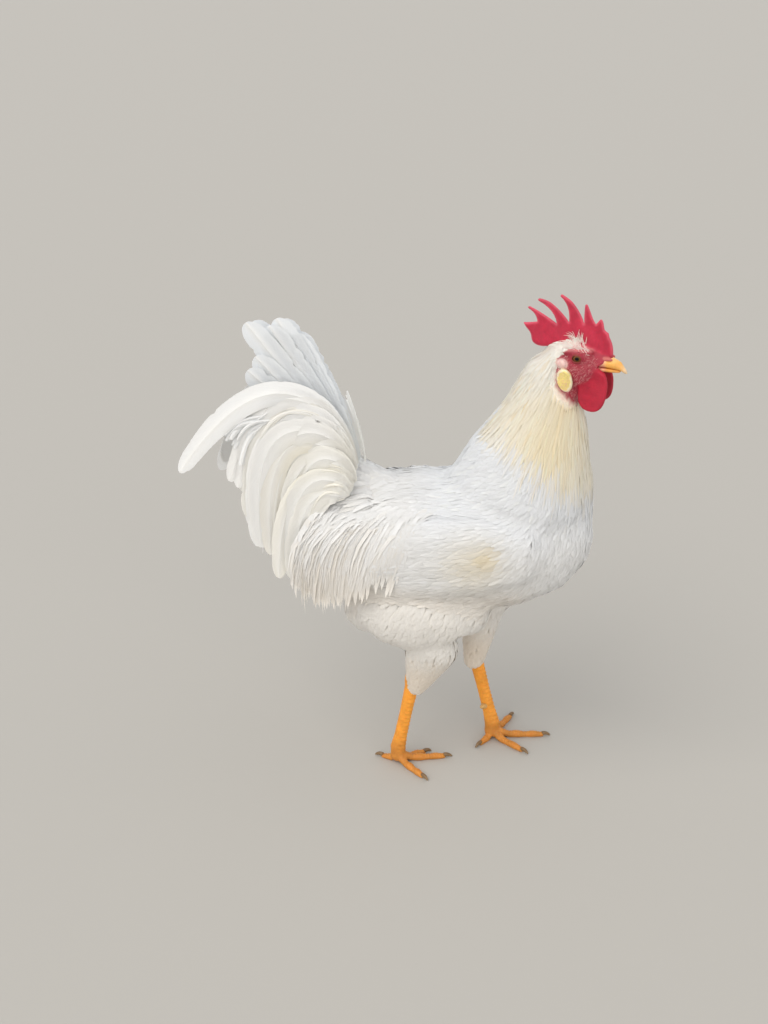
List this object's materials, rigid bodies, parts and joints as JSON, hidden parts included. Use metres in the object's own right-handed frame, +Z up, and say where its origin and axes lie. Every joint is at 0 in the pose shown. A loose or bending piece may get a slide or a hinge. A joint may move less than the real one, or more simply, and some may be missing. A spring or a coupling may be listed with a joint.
{
  "type": "cock of the White Leghorn type",
  "caption": "Standing white rooster with a single red comb, red wattles, cream neck hackle, arched sickle tail and yellow legs, life-size, one stiff piece.",
  "frame": {"origin": "under the middle of the bird, on the level of the soles", "axes": "+Z up; +X forward, from tail to beak; +Y to the bird's left"},
  "size_m": [0.4624, 0.168, 0.5518],
  "materials": {
    "plumage": "matte white body feathers",
    "hackle": "satin cream neck feathers",
    "quill": "satin white tail feathers",
    "comb": "bare red skin with fine grain",
    "face": "bare pink-red skin with short bristles",
    "earlobe": "bare pale yellow skin with fine wrinkles",
    "beak": "horn, smooth",
    "eye": "wet and glossy",
    "shank": "yellow scaled skin",
    "claw": "horn, worn"
  },
  "bodies": {
    "root": {"beak_lower": "beak", "beak_upper": "beak", "claw_hallux_left": "claw", "claw_hallux_right": "claw", "claw_inner_left": "claw", "claw_inner_right": "claw", "claw_middle_left": "claw", "claw_middle_right": "claw", "claw_outer_left": "claw", "claw_outer_right": "claw", "comb": "comb", "drumstick_left": "plumage", "drumstick_right": "plumage", "earlobe_left": "earlobe", "earlobe_right": "earlobe", "eye_left": "eye", "eye_right": "eye", "foot_left": "shank", "foot_right": "shank", "head": "face", "lesser_sickle_left_1": "quill", "lesser_sickle_left_2": "quill", "lesser_sickle_left_3": "quill", "lesser_sickle_left_4": "quill", "lesser_sickle_left_5": "quill", "lesser_sickle_right_1": "quill", "lesser_sickle_right_2": "quill", "lesser_sickle_right_3": "quill", "lesser_sickle_right_4": "quill", "lesser_sickle_right_5": "quill", "neck": "hackle", "saddle": "plumage", "shank_left": "shank", "shank_right": "shank", "sickle_left": "quill", "sickle_right": "quill", "spur_left": "claw", "spur_right": "claw", "tail_base": "plumage", "tail_fan_left": "quill", "tail_fan_right": "quill", "tail_front": "quill", "thigh_left": "plumage", "thigh_right": "plumage", "trunk": "plumage", "undertail": "plumage", "wattle_left": "comb", "wattle_right": "comb", "wing_left": "plumage", "wing_right": "plumage"}
  },
  "joints": []
}
